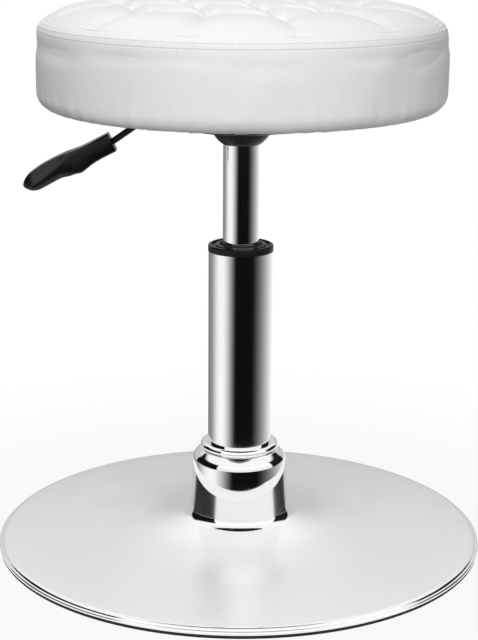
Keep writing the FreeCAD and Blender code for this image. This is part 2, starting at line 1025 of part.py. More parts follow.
def tuft_tools():
    """What the tufts press out of the crown: a ball at each, rods between them and outwards."""
    next_reach = tuft_pitch * (1 + math.sqrt(3)) / 2
    places = tuft_places()
    tools = []
    axes = []
    for x, y in places:
        top = crown_height(math.hypot(x, y))
        centre = FreeCAD.Vector(x, y, top + tuft_radius - tuft_depth)
        tools.append(Part.makeSphere(tuft_radius, centre))
        axes.append(FreeCAD.Vector(x, y, top + pleat_radius - pleat_depth))
    for index, (x, y) in enumerate(places):
        for other in range(index + 1, len(places)):
            apart = math.hypot(places[other][0] - x, places[other][1] - y)
            if apart < next_reach:
                tools.append(rod_between(axes[index], axes[other], pleat_radius))
        reach = math.hypot(x, y)
        if reach > next_reach * (tuft_rings - 1):
            edge = margin_height + pleat_radius - pleat_edge_depth
            outward = margin_radius / reach
            margin = FreeCAD.Vector(x * outward, y * outward, edge)
            run = (margin - axes[index]).normalize()
            end = margin + run * pleat_overrun
            tools.append(rod_between(axes[index], end, pleat_radius))
    return tools


def tufted_crown():
    """The pattern repeats six times round, so one sixth is pressed in and set round.

    The sixth starts a quarter of its width past a row of tufts."""
    sixth = 360 / TUFT_SIDES
    side = rounded_path([(seam_radius, seam_height), (0, seam_height)], [0, 0])
    face = profile_face(crown_profile(0, side))
    face.rotate(ORIGIN, Z_AXIS, tuft_turn + sixth / 4)
    wedge = face.revolve(ORIGIN, Z_AXIS, sixth)
    tools = [tool for tool in tuft_tools() if tool.BoundBox.intersect(wedge.BoundBox)]
    wedge = wedge.cut(tools)
    wedges = []
    for index in range(TUFT_SIDES):
        copy = wedge.copy()
        copy.rotate(ORIGIN, Z_AXIS, index * sixth)
        wedges.append(copy)
    return wedges[0].multiFuse(wedges[1:]).removeSplitter()


def seat_top_panel():
    """Leather on a layer of padding, sewn through at the tufts, and smooth underneath."""
    lining = [(seam_radius - leather, seam_height), (seam_radius - leather, hem_foot), (0, hem_foot)]
    side = rounded_path(lining, [0, 0, 0])
    return tufted_crown().cut(turned(crown_profile(panel_padding, side)))


def seat_foam():
    inset = leather + soft_gap
    side_corners = offset_corners(band_corners(), inset)
    side_rounds = offset_rounds(band_corners(), band_rounds(), inset)
    skirt = board_radius + soft_gap
    side_corners[-1] = (skirt, side_corners[-1][1])
    side_corners += [(skirt, board_top), (0, board_top)]
    side = rounded_path(side_corners, side_rounds + [0, 0])
    pad = turned(crown_profile(panel_padding + soft_gap, side))
    pocket_radius = bolt_radius + tee_nut_barrel_wall + tee_nut_flange_width + soft_gap
    pocket_top = board_top + tee_nut_flange_thickness + soft_gap
    pockets = []
    for x, y, _ in bolt_places():
        pockets.append(round_hole(x, y, pocket_radius, board_top, pocket_top))
    return pad.cut(pockets)


def save(name, shape):
    shape.exportStep(os.path.join("parts", name + ".step"))


os.makedirs("parts", exist_ok=True)

save("base_shell", base_shell())
save("base_floor_ring", floor_ring())
save("base_plate", base_plate())
save("base_hub", base_hub())
save("column_trim_ring", column_trim_ring())
save("column_tube", column_tube())
save("column_end_plate", column_end_plate())
save("column_guide_bush", guide_bush())
save("column_wiper_ring", wiper_ring())
save("bearing_lower_race", race(race_inner, end_plate_top))
save("bearing_cage", bearing_cage())
save("bearing_balls", bearing_balls())
save("bearing_upper_race", race(rod_radius + press_fit, upper_race_foot))
save("piston_rod", piston_rod())
save("rod_clip", rod_clip())
save("rod_washer", rod_washer())
save("bump_stop", bump_stop())
save("piston", piston())
save("piston_seal", piston_seal())
save("gas_cylinder", gas_cylinder())
save("cylinder_rod_guide", cylinder_rod_guide())
save("cylinder_rod_seal", cylinder_rod_seal())
save("valve_body", valve_body())
save("release_pin", release_pin())
save("hub_cover", hub_cover())
save("seat_hub", seat_hub())
save("seat_pan", seat_pan())
save("mounting_bolts", mounting_bolts())
save("bolt_washers", bolt_washers())
save("tee_nuts", tee_nuts())
save("lever_bracket", lever_bracket())
save("lever_pivot_barrel", lever_pivot_barrel())
save("lever_rod", lever_rod())
save("lever_handle", lever_handle())
save("dust_cover", dust_cover())
save("seat_board", seat_board())
save("seat_side_band", seat_side_band())
save("staples", staples())
save("seat_foam", seat_foam())
save("seat_top_panel", seat_top_panel())
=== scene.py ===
import math
import random

import bmesh
import bpy
from mathutils import Matrix, Vector


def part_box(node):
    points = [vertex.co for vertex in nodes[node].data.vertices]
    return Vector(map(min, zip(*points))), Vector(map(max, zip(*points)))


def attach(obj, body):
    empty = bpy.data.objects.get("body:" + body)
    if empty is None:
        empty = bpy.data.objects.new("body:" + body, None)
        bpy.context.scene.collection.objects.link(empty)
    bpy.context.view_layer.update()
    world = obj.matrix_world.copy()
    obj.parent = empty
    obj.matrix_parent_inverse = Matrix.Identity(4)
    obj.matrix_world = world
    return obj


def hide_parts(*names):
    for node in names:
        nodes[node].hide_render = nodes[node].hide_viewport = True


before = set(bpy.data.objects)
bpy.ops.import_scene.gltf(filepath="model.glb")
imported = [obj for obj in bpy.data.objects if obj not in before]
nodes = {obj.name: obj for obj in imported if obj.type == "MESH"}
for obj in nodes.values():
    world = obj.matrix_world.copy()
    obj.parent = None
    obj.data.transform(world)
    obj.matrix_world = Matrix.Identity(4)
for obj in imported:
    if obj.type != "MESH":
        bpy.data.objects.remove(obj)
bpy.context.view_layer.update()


# Floor ring
# A flat ring of black rubber, pressed under the rolled rim of the base so that the metal never
# touches the floor. Moulded, with a fine matt grain and a little dust rubbed into it.
def add(tree, kind, inputs=(), **settings):
    """A node with its settings, whose inputs are given as values or linked from other sockets."""
    node = tree.nodes.new(kind)
    for key, value in settings.items():
        setattr(node, key, value)
    for key, value in dict(inputs).items():
        if isinstance(value, bpy.types.NodeSocket):
            tree.links.new(value, node.inputs[key])
        else:
            node.inputs[key].default_value = value
    return node


def new_group(name, inputs, outputs):
    """An empty shader group with named value sockets, and its two ends."""
    group = bpy.data.node_groups.new(name, "ShaderNodeTree")
    for label in inputs:
        kind = "NodeSocketVector" if label == "Place" else "NodeSocketFloat"
        group.interface.new_socket(label, in_out="INPUT", socket_type=kind)
    for label in outputs:
        group.interface.new_socket(label, in_out="OUTPUT", socket_type="NodeSocketFloat")
    return group, group.nodes.new("NodeGroupInput"), group.nodes.new("NodeGroupOutput")


def calc(tree, operation, *values, **settings):
    """What a math node makes of some values."""
    return add(tree, "ShaderNodeMath", enumerate(values), operation=operation, **settings).outputs[0]


def noise(tree, place, scale, detail=2.0):
    """Soft random patches from 0 to 1."""
    inputs = {"Vector": place, "Scale": scale, "Detail": detail}
    return add(tree, "ShaderNodeTexNoise", inputs).outputs["Fac"]


def spread(tree, value, start, end, low=0.0, high=1.0, **settings):
    """A value from between start and end, spread from low to high."""
    inputs = {"Value": value, "From Min": start, "From Max": end, "To Min": low, "To Max": high}
    return add(tree, "ShaderNodeMapRange", inputs, **settings).outputs[0]


def moulded_grain_group():
    """Fine pitted grain for moulded and sprayed skins, with slow patches of shade and of gloss."""
    group, start, end = new_group("moulded_grain", ["Place", "Scale"], ["Height", "Shade", "Gloss"])
    place, scale = start.outputs["Place"], start.outputs["Scale"]
    pits = add(group, "ShaderNodeTexVoronoi", {"Vector": place, "Scale": scale}, feature="SMOOTH_F1")
    height = calc(group, "ADD", pits.outputs["Distance"], noise(group, place, scale, 3.0))
    shade = noise(group, place, calc(group, "MULTIPLY", scale, 0.03), 4.0)
    gloss = noise(group, place, calc(group, "MULTIPLY", scale, 0.11), 5.0)
    group.links.new(height, end.inputs["Height"])
    group.links.new(shade, end.inputs["Shade"])
    group.links.new(gloss, end.inputs["Gloss"])
    return group


def rubbed_edges_group():
    """Where corners are rubbed: one on sharp convex edges, broken up, and nothing elsewhere."""
    group, start, end = new_group("rubbed_edges", ["Place", "Scale"], ["Mask"])
    pointed = add(group, "ShaderNodeNewGeometry").outputs["Pointiness"]
    speckle = noise(group, start.outputs["Place"], start.outputs["Scale"], 4.0)
    mask = calc(group, "MULTIPLY", spread(group, pointed, 0.52, 0.62), speckle)
    group.links.new(mask, end.inputs["Mask"])
    return group


moulded_grain = moulded_grain_group()
rubbed_edges = rubbed_edges_group()


def finish(name):
    """A new material, its tree and shader, and the coordinates of the piece it is put on."""
    material = bpy.data.materials.new(name)
    material.use_nodes = True
    tree = material.node_tree
    place = add(tree, "ShaderNodeTexCoord").outputs["Object"]
    return material, tree, tree.nodes["Principled BSDF"], place


def grouped(tree, group, inputs):
    return add(tree, "ShaderNodeGroup", inputs, node_tree=group)


def between(tree, factor, low, high):
    """A colour that goes from low to high with a factor."""
    mix = add(tree, "ShaderNodeMix", {0: factor, 6: (*low, 1.0), 7: (*high, 1.0)}, data_type="RGBA")
    return mix.outputs[2]


def ranged(tree, value, low, high):
    """A value from 0.3 to 0.7, where noise mostly lies, spread from low to high."""
    return spread(tree, value, 0.3, 0.7, low, high, clamp=False)


def painted(tree, shader, factor, low, high):
    """Gives a shader a colour that goes from low to high with a factor."""
    tree.links.new(between(tree, factor, low, high), shader.inputs["Base Color"])


def glossed(tree, shader, factor, low, high):
    """Gives a shader a roughness that goes from low to high with noise."""
    tree.links.new(ranged(tree, factor, low, high), shader.inputs["Roughness"])


def bumped(tree, shader, height, depth):
    """Gives a shader a relief of a depth in metres."""
    bump = add(tree, "ShaderNodeBump", {"Strength": 1.0, "Distance": depth, "Height": height})
    tree.links.new(bump.outputs["Normal"], shader.inputs["Normal"])


def moulded(name, dark, light, gloss, scale, depth, worn, shine=0.5):
    """A grained skin from dark to light, whose rubbed corners take the worn colour."""
    material, tree, shader, place = finish(name)
    shader.inputs["Specular IOR Level"].default_value = shine
    grain = grouped(tree, moulded_grain, {"Place": place, "Scale": scale})
    edges = grouped(tree, rubbed_edges, {"Place": place, "Scale": scale * 0.4})
    skin = between(tree, grain.outputs["Shade"], dark, light)
    layers = {0: edges.outputs["Mask"], 6: skin, 7: (*worn, 1.0)}
    colour = add(tree, "ShaderNodeMix", layers, data_type="RGBA")
    tree.links.new(colour.outputs[2], shader.inputs["Base Color"])
    glossed(tree, shader, grain.outputs["Gloss"], *gloss)
    bumped(tree, shader, grain.outputs["Height"], depth)
    return material


def coat(material, *names):
    """Gives CAD nodes a material in place of the plain one they came with."""
    for name in names:
        mesh = nodes[name].data
        mesh.materials.clear()
        mesh.materials.append(material)


black_rubber = moulded(
    "black_rubber",
    dark=(0.006, 0.006, 0.006),
    light=(0.014, 0.014, 0.014),
    gloss=(0.62, 0.8),
    scale=900.0,
    depth=0.00008,
    worn=(0.035, 0.035, 0.035),
    shine=0.3,
)
coat(black_rubber, "base_floor_ring")


# Bottom plate
# A disc of pressed steel under the base, sprayed satin black, resting on the rubber ring and
# welded round the taper hub.
black_paint = moulded(
    "black_paint",
    dark=(0.006, 0.006, 0.007),
    light=(0.012, 0.012, 0.013),
    gloss=(0.3, 0.46),
    scale=420.0,
    depth=0.00005,
    worn=(0.05, 0.05, 0.05),
    shine=0.3,
)
coat(black_paint, "base_plate")


# Base shell
# Steel sheet spun into a wide shallow dish with a bell-shaped neck and a rolled rim, then chromed.
# The neck and rim are buffed to a mirror, and the dish keeps the soft sheen of its spinning marks.
def polish_marks_group():
    """What buffing leaves on bright metal: slow smears, and hairlines drawn along the Z axis."""
    group, start, end = new_group("polish_marks", ["Place", "Scale"], ["Smear", "Hairline"])
    place, scale = start.outputs["Place"], start.outputs["Scale"]
    stretch = add(group, "ShaderNodeMapping", {"Vector": place, "Scale": (60.0, 60.0, 1.2)})
    group.links.new(noise(group, place, scale, 6.0), end.inputs["Smear"])
    group.links.new(noise(group, stretch.outputs[0], scale), end.inputs["Hairline"])
    return group


polish_marks = polish_marks_group()
chrome_low = (0.91, 0.912, 0.916)
chrome_high = (0.945, 0.947, 0.95)
neck_polish_radius = 0.046
dish_sheen_radius = 0.085
rim_polish_radius = 0.1865
neck_gloss = 0.035
dish_gloss = 0.3

base_chrome, tree, shader, place = finish("base_chrome")
marks = grouped(tree, polish_marks, {"Place": place, "Scale": 24.0})
axes = add(tree, "ShaderNodeSeparateXYZ", {"Vector": place})
across = add(tree, "ShaderNodeCombineXYZ", {"X": axes.outputs["X"], "Y": axes.outputs["Y"]})
radius = add(tree, "ShaderNodeVectorMath", {0: across.outputs[0]}, operation="LENGTH").outputs["Value"]
dish_sheen = spread(
    tree,
    radius,
    neck_polish_radius,
    dish_sheen_radius,
    neck_gloss,
    dish_gloss,
    interpolation_type="SMOOTHSTEP",
)
sheen = spread(tree, radius, rim_polish_radius, rim_polish_radius + 0.002, dish_sheen, neck_gloss)
smears = ranged(tree, marks.outputs["Smear"], 0.92, 1.08)
tree.links.new(calc(tree, "MULTIPLY", sheen, smears), shader.inputs["Roughness"])
painted(tree, shader, marks.outputs["Smear"], chrome_low, chrome_high)
spinning_rings = calc(tree, "SINE", calc(tree, "MULTIPLY", radius, 5200.0))
bumped(tree, shader, spinning_rings, 0.0000006)
shader.inputs["Metallic"].default_value = 1.0
shader.inputs["Anisotropic"].default_value = 0.6
turning = add(tree, "ShaderNodeTangent", direction_type="RADIAL", axis="Z")
tree.links.new(turning.outputs[0], shader.inputs["Tangent"])


def turned_mesh(name, profile, segments, shift=None, closed=True):
    """A mesh turned from the (radius, height) points of a profile, each point moved by a shift.

    A point on the axis makes one vertex. The shift gets the point's number and its angle from the
    front, and gives the change of radius and of height."""
    made = bmesh.new()
    loops = []
    for number, (radius, height) in enumerate(profile):
        if radius == 0:
            loops.append([made.verts.new((0.0, 0.0, height))])
            continue
        loop = []
        for step in range(segments):
            angle = 2 * math.pi * step / segments
            out, rise = shift(number, angle) if shift else (0.0, 0.0)
            reach = radius + out
            loop.append(made.verts.new((reach * math.sin(angle), -reach * math.cos(angle), height + rise)))
        loops.append(loop)
    pairs = list(zip(loops, loops[1:]))
    if closed:
        pairs.append((loops[-1], loops[0]))
    for near, far in pairs:
        if len(near) == 1 and len(far) == 1:
            continue
        for step in range(segments):
            after = (step + 1) % segments
            corners = [near[step % len(near)], near[after % len(near)]]
            corners += [far[after % len(far)], far[step % len(far)]]
            made.faces.new(list(dict.fromkeys(corners)))
    bmesh.ops.recalc_face_normals(made, faces=made.faces)
    mesh = bpy.data.meshes.new(name)
    made.to_mesh(mesh)
    made.free()
    return mesh


def meridian(node):
    """The closed outline of a turned CAD node, followed along its mesh from the inside round."""
    mesh = nodes[node].data
    points = {}
    for vertex in mesh.vertices:
        if abs(vertex.co.y) < 1e-6 and vertex.co.x > 0:
            points[vertex.index] = (round(vertex.co.x, 7), round(vertex.co.z, 7))
    beside = {}
    for edge in mesh.edges:
        first, second = edge.vertices
        if first in points and second in points and points[first] != points[second]:
            beside.setdefault(points[first], set()).add(points[second])
            beside.setdefault(points[second], set()).add(points[first])
    line = [min(beside)]
    while True:
        onward = [place for place in sorted(beside[line[-1]]) if place not in line]
        if not onward:
            return line
        line.append(onward[0])


def shown(name, mesh, material):
    """An object at the origin with a mesh that is smooth all over."""
    mesh.materials.clear()
    mesh.materials.append(material)
    mesh.polygons.foreach_set("use_smooth", [True] * len(mesh.polygons))
    made = bpy.data.objects.new(name, mesh)
    bpy.context.scene.collection.objects.link(made)
    return made


base_bell = shown("base_bell", turned_mesh("base_bell", meridian("base_shell"), 360), base_chrome)
base_bell.data.set_sharp_from_angle(angle=math.radians(35))
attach(base_bell, "base")
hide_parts("base_shell")


# Taper hub and end plate
# A turned steel sleeve welded to the bottom plate takes the tapered foot of the column. The plate
# inside the column's foot carries the thrust bearing. Both are left as turned and oiled.
def bright_metal(name, low, high, gloss, scale, depth):
    """Metal with smears in its gloss and fine drawn hairlines."""
    material, tree, shader, place = finish(name)
    marks = grouped(tree, polish_marks, {"Place": place, "Scale": scale})
    painted(tree, shader, marks.outputs["Smear"], low, high)
    both = calc(tree, "MULTIPLY_ADD", marks.outputs["Smear"], marks.outputs["Hairline"], 0.25)
    glossed(tree, shader, both, *gloss)
    bumped(tree, shader, marks.outputs["Hairline"], depth)
    shader.inputs["Metallic"].default_value = 1.0
    return material


turned_steel = bright_metal(
    "turned_steel",
    low=(0.42, 0.42, 0.43),
    high=(0.58, 0.58, 0.59),
    gloss=(0.24, 0.4),
    scale=60.0,
    depth=0.00001,
)
coat(turned_steel, "base_hub", "column_end_plate")


# Column and its trim ring
# Drawn steel tube, chromed to a mirror, pressed into the taper hub. A domed chrome ring drops over
# it to hide the joint with the neck of the base.
mirror_chrome = bright_metal(
    "mirror_chrome",
    low=chrome_low,
    high=chrome_high,
    gloss=(0.03, 0.06),
    scale=18.0,
    depth=0.0000006,
)
coat(mirror_chrome, "column_tube", "column_trim_ring")


# Guide bush and wiper ring
# A black nylon bush pressed into the top of the column guides the gas cylinder, and its collar
# closes the tube. A soft rubber ring set into the collar wipes the cylinder.
black_nylon = moulded(
    "black_nylon",
    dark=(0.004, 0.004, 0.005),
    light=(0.010, 0.010, 0.011),
    gloss=(0.24, 0.38),
    scale=700.0,
    depth=0.00004,
    worn=(0.04, 0.04, 0.042),
    shine=0.16,
)
coat(black_nylon, "column_guide_bush")
coat(black_rubber, "column_wiper_ring")


# Thrust bearing
# Two ground steel races with a ring of balls between them carry the weight of the seat, and a
# nylon cage keeps the balls apart.
pale_nylon = moulded(
    "pale_nylon",
    dark=(0.62, 0.60, 0.52),
    light=(0.74, 0.72, 0.64),
    gloss=(0.38, 0.5),
    scale=600.0,
    depth=0.00005,
    worn=(0.5, 0.48, 0.4),
)
coat(turned_steel, "bearing_lower_race", "bearing_upper_race", "bearing_balls")
coat(pale_nylon, "bearing_cage")


# Piston rod
# A ground steel rod that stands in the bearing, held by a washer and a clip under the end plate. It
# carries a rubber bump stop, and the piston with its seal at the top.
coat(turned_steel, "piston_rod", "rod_clip", "rod_washer", "piston")
coat(black_rubber, "bump_stop", "piston_seal")


# Gas cylinder
# A chromed steel tube that rides up and down on the piston rod. Its foot is closed by a guide and a
# seal, and its head by the valve, whose pin stands out at the top.
coat(mirror_chrome, "gas_cylinder")
coat(turned_steel, "cylinder_rod_guide", "valve_body", "release_pin")
coat(black_rubber, "cylinder_rod_seal")


# Hub cover, seat hub and seat pan
# The cylinder's head is pressed into a steel hub that is welded in a pressed pan, sprayed black. A
# domed nylon cover hides the hub from below.
coat(black_nylon, "hub_cover")
coat(turned_steel, "seat_hub")
coat(black_paint, "seat_pan")


# Bolts, washers and tee nuts
# Four hexagon bolts with flat washers go up through the pan into tee nuts in the seat board. All are
# zinc plated, with the faint yellow and grey clouds of the plating bath.
zinc_plate = bright_metal(
    "zinc_plate",
    low=(0.5, 0.49, 0.46),
    high=(0.68, 0.67, 0.64),
    gloss=(0.28, 0.45),
    scale=140.0,
    depth=0.000012,
)
coat(zinc_plate, "mounting_bolts", "bolt_washers", "tee_nuts")


# Lever rod, pivot and bracket
# A bent steel rod, sprayed black, turns on a barrel held between the ears of a bracket in the pan.
# Its inner end lies on the release pin.
coat(black_paint, "lever_rod", "lever_bracket")
coat(turned_steel, "lever_pivot_barrel")


# Lever handle
# A grip moulded in black plastic and pushed on the end of the rod: a square socket that passes into
# a flattened paddle, with a leaf-shaped facet on each side and a stop for the finger underneath.
handle_root = Vector((-0.0986, 0.0, 0.32130))
handle_slope = math.radians(26.8)
handle_along = Vector((-math.cos(handle_slope), 0.0, -math.sin(handle_slope)))
handle_up = Vector((-math.sin(handle_slope), 0.0, math.cos(handle_slope)))
handle_length = 0.077
handle_tip_start = 0.066
socket_half_width = 0.0075
paddle_half_width = 0.0105
facet_start = 0.033
facet_end = 0.043
handle_top = [(0, 7.5), (24, 7.1), (31, 8.0), (38, 8.9), (47, 9.2), (56, 8.9), (68, 7.1)]
handle_top += [(73, 5.0), (77, 0.9)]
handle_bottom = [(0, -7.4), (14, -7.4), (20, -7.8), (31, -10.5), (36, -8.8), (40, -8.8), (47, -6.9)]
handle_bottom += [(60, -7.4), (67, -7.6), (72, -5.8), (77, -1.0)]
handle_ridge = [(0, 4.8), (30, 5.6), (38, 5.4), (46, 3.2), (60, -0.6), (72, -2.4), (77, -0.1)]
handle_stations = [0, 1, 4, 12, 20, 26, 31, 34, 37, 40, 43, 47, 52, 57, 62, 66, 69, 72, 74.5, 76.2, 77]


def along_line(points, place):
    """The value, at a place, of the line through (place, value) points."""
    for (a, low), (b, high) in zip(points, points[1:]):
        if a <= place <= b:
            share = (place - a) / (b - a)
            return low + (high - low) * share
    return points[-1][1]


def smooth_step(low, high, value):
    share = min(1.0, max(0.0, (value - low) / (high - low)))
    return share * share * (3 - 2 * share)


def handle_section(station):
    """The corners of the grip's section, round from the top, at a station in millimetres."""
    place = station / 1000
    top = along_line(handle_top, station) / 1000
    bottom = along_line(handle_bottom, station) / 1000
    ridge = along_line(handle_ridge, station) / 1000
    facet = smooth_step(facet_start, facet_end, place)
    half = socket_half_width + (paddle_half_width - socket_half_width) * place / handle_length
    if place > handle_tip_start:
        past = (place - handle_tip_start) / (handle_length - handle_tip_start)
        half *= math.sqrt(max(0.02, 1 - past * past))
    corner = 0.0011
    top_half = (half - corner) * (1 - facet) + 0.52 * half * facet
    bottom_half = (half - corner) * (1 - facet) + 0.66 * half * facet
    upper = top - corner * (1 - facet)
    side = [
        (top_half, top),
        (half * (1 - 0.18 * facet), upper * (1 - facet) + (ridge + (top - ridge) * 0.45) * facet),
        (half, ridge),
        (half * (1 - 0.03 * facet), bottom + (ridge - bottom) * 0.45),
        (bottom_half, bottom),
    ]
    front = [(-y, z) for y, z in side]
    back = [(y, z) for y, z in reversed(side)]
    return [(0.0, top)] + front + [(0.0, bottom)] + back


def handle_mesh():
    """The grip as a cage of sections, creased along the facets' borders and round the socket's end."""
    made = bmesh.new()
    loops = []
    for station in handle_stations:
        centre = handle_root + handle_along * (station / 1000)
        loop = []
        for y, z in handle_section(station):
            loop.append(made.verts.new(centre + handle_up * z + Vector((0.0, y, 0.0))))
        loops.append(loop)
    count = len(loops[0])
    for near, far in zip(loops, loops[1:]):
        for index in range(count):
            after = (index + 1) % count
            made.faces.new((near[index], near[after], far[after], far[index]))
    made.faces.new(list(reversed(loops[0])))
    made.faces.new(loops[-1])
    bmesh.ops.recalc_face_normals(made, faces=made.faces)
    creases = made.edges.layers.float.new("crease_edge")
    for near, far in zip(loops, loops[1:]):
        for index in (3, count - 3):
            edge = made.edges.get((near[index], far[index]))
            edge[creases] = 0.75
        for index in (1, 5, count - 5, count - 1):
            edge = made.edges.get((near[index], far[index]))
            edge[creases] = 0.45
    for index in range(count):
        edge = made.edges.get((loops[0][index], loops[0][(index + 1) % count]))
        edge[creases] = 0.9
    mesh = bpy.data.meshes.new("lever_grip")
    made.to_mesh(mesh)
    made.free()
    return mesh


def rounded_off(piece, levels):
    """Finishes a piece with a subdivision surface."""
    modifier = piece.modifiers.new("rounded_off", "SUBSURF")
    modifier.levels = levels
    modifier.render_levels = levels


black_grip = moulded(
    "black_grip",
    dark=(0.003, 0.003, 0.0035),
    light=(0.008, 0.008, 0.0085),
    gloss=(0.26, 0.36),
    scale=520.0,
    depth=0.00004,
    worn=(0.04, 0.04, 0.041),
    shine=0.45,
)
lever_grip = shown("lever_grip", handle_mesh(), black_grip)
rounded_off(lever_grip, 2)
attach(lever_grip, "lever")
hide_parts("lever_handle")


# Seat board
# A disc of plywood that everything soft is pulled over. Its faces show the grain of the veneer, and
# its edge the alternating plies.
board_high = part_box("seat_board")[1]
ply_thickness = 0.0015
plywood, tree, shader, place = finish("plywood")
lengthways = add(tree, "ShaderNodeMapping", {"Vector": place, "Scale": (14.0, 220.0, 60.0)})
grain = noise(tree, lengthways.outputs[0], 1.0, 6.0)
height = add(tree, "ShaderNodeSeparateXYZ", {"Vector": place}).outputs["Z"]
plies = calc(tree, "SINE", calc(tree, "MULTIPLY", height, math.pi / ply_thickness))
streak = calc(tree, "MULTIPLY_ADD", plies, 0.08, grain)
painted(tree, shader, streak, (0.42, 0.28, 0.15), (0.68, 0.52, 0.34))
glossed(tree, shader, grain, 0.6, 0.75)
bumped(tree, shader, grain, 0.0001)
coat(plywood, "seat_board")


# Dust cover
# A disc of black non-woven cloth that closes the seat from below, held flat by the pan in the middle
# and tucked under the hem at its edge, and sagging a little between them.
cover_low, cover_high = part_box("dust_cover")
cover_radius = cover_high.x
pan_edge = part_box("seat_pan")[1].x
cover_sag = 0.0011
cover_ripples = 14
cover_rings = 18
cover_radii = [cover_radius * ring / cover_rings for ring in range(cover_rings + 1)]
cover_profile = [(radius, cover_high.z - 0.0001) for radius in cover_radii]
cover_profile += [(radius, cover_low.z) for radius in reversed(cover_radii)]


def cover_hang(number, angle):
    """How the cloth sags and ripples where it is free, between the pan and the hem."""
    radius = cover_profile[number][0]
    free = (radius - pan_edge) / (cover_radius - pan_edge)
    if free <= 0:
        return 0.0, 0.0
    hang = math.sin(math.pi * free) * (1 + 0.25 * math.sin(cover_ripples * angle + 3 * free))
    return 0.0, -cover_sag * hang


black_cloth, tree, shader, place = finish("black_cloth")
fibres = add(tree, "ShaderNodeTexVoronoi", {"Vector": place, "Scale": 1500.0}, feature="DISTANCE_TO_EDGE")
dots = add(tree, "ShaderNodeTexVoronoi", {"Vector": place, "Scale": 640.0, "Randomness": 0.15})
felt = noise(tree, place, 520.0, 5.0)
painted(tree, shader, felt, (0.008, 0.008, 0.009), (0.03, 0.03, 0.032))
glossed(tree, shader, felt, 0.75, 0.95)
bumped(tree, shader, calc(tree, "ADD", dots.outputs["Distance"], fibres.outputs["Distance"]), 0.0002)
under_cloth = shown("under_cloth", turned_mesh("under_cloth", cover_profile, 112, cover_hang), black_cloth)
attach(under_cloth, "seat")
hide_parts("dust_cover")


# Side band
# A strip of white synthetic leather sewn to the top panel, drawn down over the foam, turned under the
# board and stapled. It bulges a little, dimples under the seam and gathers where it turns under.
band_low, band_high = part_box("seat_side_band")
seat_radius = band_high.x
seam_height = band_high.z
hem_height = band_low.z
seam_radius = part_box("seat_top_panel")[1].x
leather = 0.0015
widest_height = hem_height + 0.042
foot_draw = 0.001
foot_round = 0.012
hem_inner = seat_radius - foot_draw - 0.022
band_segments = 384


def arc_points(centre, radius, start, end, count):
    """Points of an arc in a profile, from one angle to another, in degrees."""
    points = []
    for step in range(count + 1):
        angle = math.radians(start + (end - start) * step / count)
        points.append((centre[0] + radius * math.cos(angle), centre[1] + radius * math.sin(angle)))
    return points


def band_radius(height):
    """The radius of the band's outside at a height above its rounded foot."""
    if height > widest_height:
        share = (height - widest_height) / (seam_height - widest_height)
        return seat_radius - (seat_radius - seam_radius) * share**1.7
    share = (widest_height - height) / (widest_height - hem_height)
    return seat_radius - foot_draw * share**1.7


side_rows = 34
side_foot = hem_height + foot_round
outside = []
for row in range(side_rows + 1):
    height = seam_height + (side_foot - seam_height) * row / side_rows
    outside.append((band_radius(height), height))
turn_radius = band_radius(side_foot)
turn = arc_points((turn_radius - foot_round, side_foot), foot_round, 0, -90, 12)
hem = [(turn_radius - foot_round - step * 0.0018, hem_height) for step in range(1, 5)]
band_outer = outside + turn[1:] + hem
band_outer.append((hem_inner, hem_height))
band_inner = [(hem_inner, hem_height + leather)]
band_inner.append((turn_radius - foot_round, hem_height + leather))
band_inner += arc_points((turn_radius - foot_round, side_foot), foot_round - leather, -90, 0, 6)[1:]
for row in range(6, -1, -1):
    height = seam_height + (side_foot - seam_height) * row / 6
    band_inner.append((band_radius(height) - leather, height))
band_profile = band_outer + band_inner

band_random = random.Random(7)
dimples = [
    (math.radians(-58), 0.011, 0.20, 0.0065, 0.0022),
    (math.radians(-34), 0.009, 0.16, 0.0045, 0.0012),
    (math.radians(-14), 0.008, 0.14, 0.0040, 0.0006),
    (math.radians(6), 0.012, 0.20, 0.0060, 0.0009),
    (math.radians(36), 0.009, 0.14, 0.0045, 0.0010),
    (math.radians(58), 0.012, 0.22, 0.0065, 0.0022),
]
for place_number in range(9):
    dimples.append(
        (
            math.radians(80 + place_number * 25 + band_random.uniform(-6, 6)),
            band_random.uniform(0.009, 0.014),
            band_random.uniform(0.14, 0.26),
            band_random.uniform(0.004, 0.007),
            band_random.uniform(0.0006, 0.0018),
        )
    )
slow_waves = []
for count in (5, 8, 13, 21, 34):
    slow_waves.append((count, band_random.uniform(0, 2 * math.pi), band_random.uniform(0.5, 1.0)))
gathers = []
for count in (46, 61, 83):
    gathers.append((count, band_random.uniform(0, 2 * math.pi), band_random.uniform(0.6, 1.0)))


def band_shift(number, angle):
    """How the leather gives: dimples under the seam, slow waves, and gathers at the foot and hem."""
    if number >= len(band_outer):
        return 0.0, 0.0
    radius, height = band_profile[number]
    below = seam_height - height
    inward = 0.0
    for at, depth_below, width, tall, depth in dimples:
        off = (angle - at + math.pi) % (2 * math.pi) - math.pi
        inward += depth * math.exp(-((off / width) ** 2) - ((below - depth_below) / tall) ** 2)
    free = smooth_step(0.0, 0.012, below) * smooth_step(0.0, 0.012, height - hem_height)
    for count, phase, size in slow_waves:
        inward += 0.0028 * size * free / count * math.sin(count * angle + phase + 4 * count * below)
    foot = smooth_step(0.030, 0.006, height - hem_height)
    rise = 0.0
    for count, phase, size in gathers:
        wave = size * math.sin(count * angle + phase)
        inward += 0.00012 * foot * wave
        if radius < turn_radius - 0.004:
            rise += 0.00012 * wave
    return -inward, max(0.0, rise)


